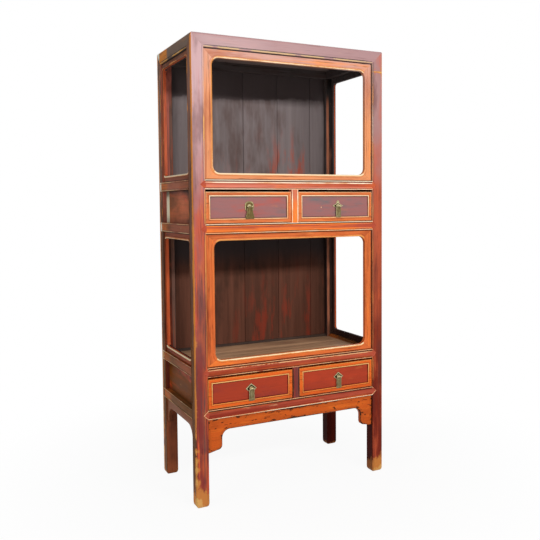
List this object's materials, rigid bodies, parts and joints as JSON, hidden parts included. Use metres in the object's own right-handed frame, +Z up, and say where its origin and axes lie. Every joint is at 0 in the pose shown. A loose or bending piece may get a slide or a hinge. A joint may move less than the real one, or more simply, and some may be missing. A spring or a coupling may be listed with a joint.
{
  "type": "scholar cabinet",
  "caption": "Tall open lacquered cabinet on four posts, with bays framed by beaded frets, drawers with drop pulls, and shaped aprons.",
  "frame": {"origin": "on the floor, midway between the four posts", "axes": "+X to the right of someone facing the front, +Y to the back, +Z up"},
  "size_m": [0.853, 0.4335, 1.8],
  "materials": {
    "red_lacquer": "worn red lacquer, satin",
    "orange_lacquer": "worn orange lacquer, satin",
    "drawer_lacquer": "worn brick-red lacquer, satin",
    "side_lacquer": "dark brown-red lacquer, dull",
    "dark_board": "dark stained boards, dull",
    "shelf_board": "worn brown boards, dull",
    "drawer_wood": "bare wood, dull",
    "aged_brass": "aged brass"
  },
  "bodies": {
    "carcass": {"post_front_left": "red_lacquer", "post_front_right": "red_lacquer", "post_rear_left": "red_lacquer", "post_rear_right": "red_lacquer", "top_rail_front": "red_lacquer", "top_rail_rear": "red_lacquer", "top_rail_left": "red_lacquer", "top_rail_right": "red_lacquer", "rail_front_upper_shelf": "red_lacquer", "rail_left_upper_shelf": "side_lacquer", "rail_right_upper_shelf": "side_lacquer", "rail_front_upper_drawer": "red_lacquer", "rail_left_upper_drawer": "side_lacquer", "rail_right_upper_drawer": "side_lacquer", "rail_front_lower_shelf": "red_lacquer", "rail_left_lower_shelf": "side_lacquer", "rail_right_lower_shelf": "side_lacquer", "rail_front_lower_drawer": "red_lacquer", "rail_left_lower_drawer": "side_lacquer", "rail_right_lower_drawer": "side_lacquer", "stile_upper": "red_lacquer", "rear_board_upper": "dark_board", "back_panel_upper": "dark_board", "shelf_upper": "shelf_board", "dust_board_upper": "drawer_wood", "side_panel_left_upper": "side_lacquer", "side_panel_right_upper": "side_lacquer", "fret_front_upper": "orange_lacquer", "fret_left_upper": "orange_lacquer", "fret_right_upper": "orange_lacquer", "stile_lower": "red_lacquer", "rear_board_lower": "dark_board", "back_panel_lower": "dark_board", "shelf_lower": "shelf_board", "dust_board_lower": "drawer_wood", "side_panel_left_lower": "side_lacquer", "side_panel_right_lower": "side_lacquer", "fret_front_lower": "orange_lacquer", "fret_left_lower": "orange_lacquer", "fret_right_lower": "orange_lacquer", "apron_front": "orange_lacquer", "apron_left": "orange_lacquer", "apron_right": "orange_lacquer", "top_panel": "dark_board"},
    "drawer_upper_left": {"drawer_upper_left_front": "drawer_lacquer", "drawer_upper_left_box": "drawer_wood", "drawer_upper_left_pull_plate": "aged_brass"},
    "drawer_upper_left_pull": {"drawer_upper_left_pull_drop": "aged_brass"},
    "drawer_upper_right": {"drawer_upper_right_front": "drawer_lacquer", "drawer_upper_right_box": "drawer_wood", "drawer_upper_right_pull_plate": "aged_brass"},
    "drawer_upper_right_pull": {"drawer_upper_right_pull_drop": "aged_brass"},
    "drawer_lower_left": {"drawer_lower_left_front": "drawer_lacquer", "drawer_lower_left_box": "drawer_wood", "drawer_lower_left_pull_plate": "aged_brass"},
    "drawer_lower_left_pull": {"drawer_lower_left_pull_drop": "aged_brass"},
    "drawer_lower_right": {"drawer_lower_right_front": "drawer_lacquer", "drawer_lower_right_box": "drawer_wood", "drawer_lower_right_pull_plate": "aged_brass"},
    "drawer_lower_right_pull": {"drawer_lower_right_pull_drop": "aged_brass"}
  },
  "joints": [
    {"name": "drawer_upper_left_slide", "type": "slide", "parent": "carcass", "child": "drawer_upper_left", "axis": [0, -1, 0], "range_m": [0, 0.28]},
    {"name": "drawer_upper_left_pull_hinge", "type": "hinge", "parent": "drawer_upper_left", "child": "drawer_upper_left_pull", "pos_m": [-0.1925, -0.2153, 1.1545], "axis": [-1, 0, 0], "range_deg": [0, 100]},
    {"name": "drawer_upper_right_slide", "type": "slide", "parent": "carcass", "child": "drawer_upper_right", "axis": [0, -1, 0], "range_m": [0, 0.28]},
    {"name": "drawer_upper_right_pull_hinge", "type": "hinge", "parent": "drawer_upper_right", "child": "drawer_upper_right_pull", "pos_m": [0.2075, -0.2153, 1.1545], "axis": [-1, 0, 0], "range_deg": [0, 100]},
    {"name": "drawer_lower_left_slide", "type": "slide", "parent": "carcass", "child": "drawer_lower_left", "axis": [0, -1, 0], "range_m": [0, 0.28]},
    {"name": "drawer_lower_left_pull_hinge", "type": "hinge", "parent": "drawer_lower_left", "child": "drawer_lower_left_pull", "pos_m": [-0.1925, -0.2153, 0.4395], "axis": [-1, 0, 0], "range_deg": [0, 100]},
    {"name": "drawer_lower_right_slide", "type": "slide", "parent": "carcass", "child": "drawer_lower_right", "axis": [0, -1, 0], "range_m": [0, 0.28]},
    {"name": "drawer_lower_right_pull_hinge", "type": "hinge", "parent": "drawer_lower_right", "child": "drawer_lower_right_pull", "pos_m": [0.2075, -0.2153, 0.4395], "axis": [-1, 0, 0], "range_deg": [0, 100]}
  ]
}
